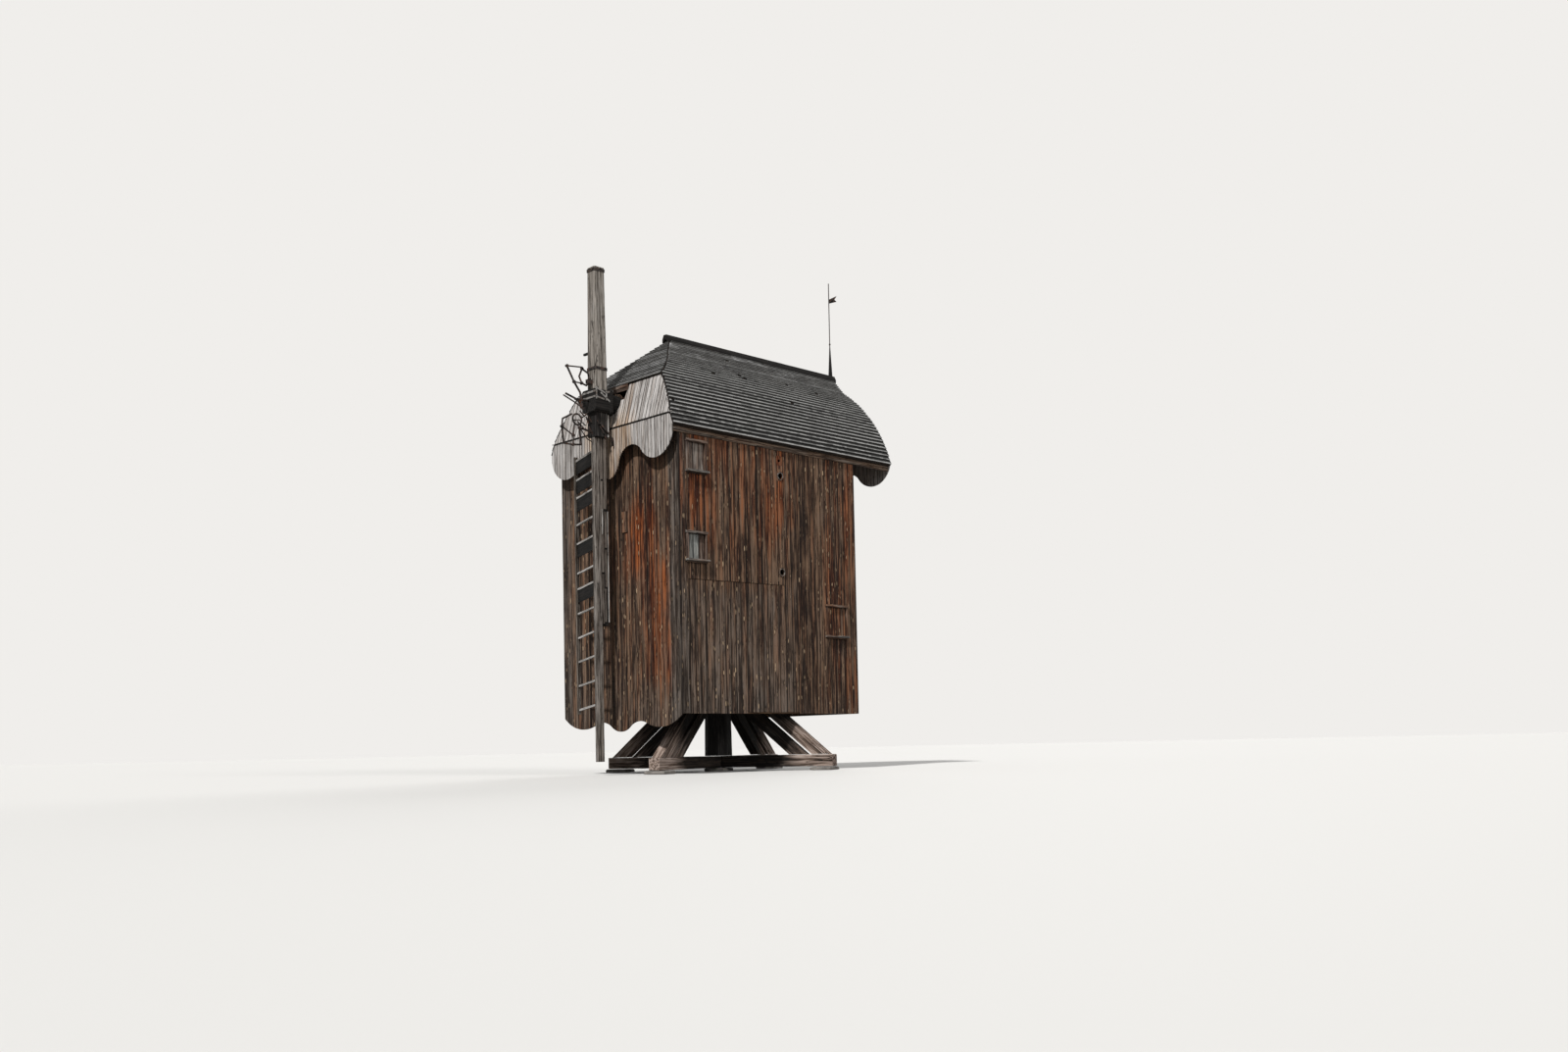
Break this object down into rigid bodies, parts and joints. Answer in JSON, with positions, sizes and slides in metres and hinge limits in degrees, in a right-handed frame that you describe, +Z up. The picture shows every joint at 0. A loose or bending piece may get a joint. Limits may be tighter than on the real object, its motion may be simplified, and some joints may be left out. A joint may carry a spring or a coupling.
{
  "type": "traditional wooden post mill",
  "caption": "Wooden post windmill: a tall boarded house with a curved shingle roof, turning on a braced post, with the remains of one pair of sails.",
  "frame": {"origin": "on the post's axis at ground level", "axes": "+Z up, -Y is the front with the sails, +X is the mill's right side"},
  "size_m": [6.8838, 10.3029, 14.96],
  "materials": {
    "brown_boards": "weathered",
    "grey_boards": "weathered",
    "oak": "weathered",
    "shingles": "weathered",
    "iron": "rusty",
    "fieldstone": "rough"
  },
  "bodies": {
    "trestle": {"foot_pads": "fieldstone", "ground_beam_lower": "oak", "ground_beam_upper": "oak", "main_post": "oak", "upper_braces": "oak", "lower_braces": "oak", "saddle": "oak"},
    "house": {"corner_posts": "oak", "crown_tree": "oak", "door_surround": "brown_boards", "end_girts": "oak", "end_sills": "oak", "fascias": "brown_boards", "finial_rod": "iron", "finial_spike": "iron", "front_hip": "shingles", "front_skirt_lower": "grey_boards", "front_skirt_upper": "grey_boards", "front_wall": "brown_boards", "hatch_frames_left": "grey_boards", "hatch_frames_right": "grey_boards", "hatch_shutters_left": "grey_boards", "hatch_shutters_right": "grey_boards", "hole_rings": "grey_boards", "lower_floor": "brown_boards", "middle_floor": "brown_boards", "neck_bearing": "oak", "rear_door": "brown_boards", "rear_gable": "brown_boards", "rear_skirt": "grey_boards", "rear_wall": "brown_boards", "ridge_cap": "shingles", "roof_slope_left": "shingles", "roof_slope_right": "shingles", "shaft_beams": "oak", "sheer_beams": "oak", "side_girts": "oak", "side_sills": "oak", "side_wall_left": "brown_boards", "side_wall_right": "brown_boards", "tail_bearing": "oak", "upper_floor": "brown_boards"},
    "sails": {"windshaft": "oak", "poll_end": "oak", "main_stock": "grey_boards", "lower_whip": "grey_boards", "whip_backing": "grey_boards", "sail_bars": "grey_boards", "sail_stile": "grey_boards", "cross_stub": "oak", "sail_boards": "grey_boards", "stock_peg": "grey_boards", "arm_hoops": "iron", "upper_irons": "iron", "lower_irons": "iron"}
  },
  "joints": [
    {"name": "house_turn", "type": "hinge", "parent": "trestle", "child": "house", "pos_m": [0, 0, 4.5], "axis": [0, 0, 1], "continuous": true},
    {"name": "sail_turn", "type": "hinge", "parent": "house", "child": "sails", "pos_m": [0, -4, 9.79], "axis": [0, -1, 0], "continuous": true}
  ]
}
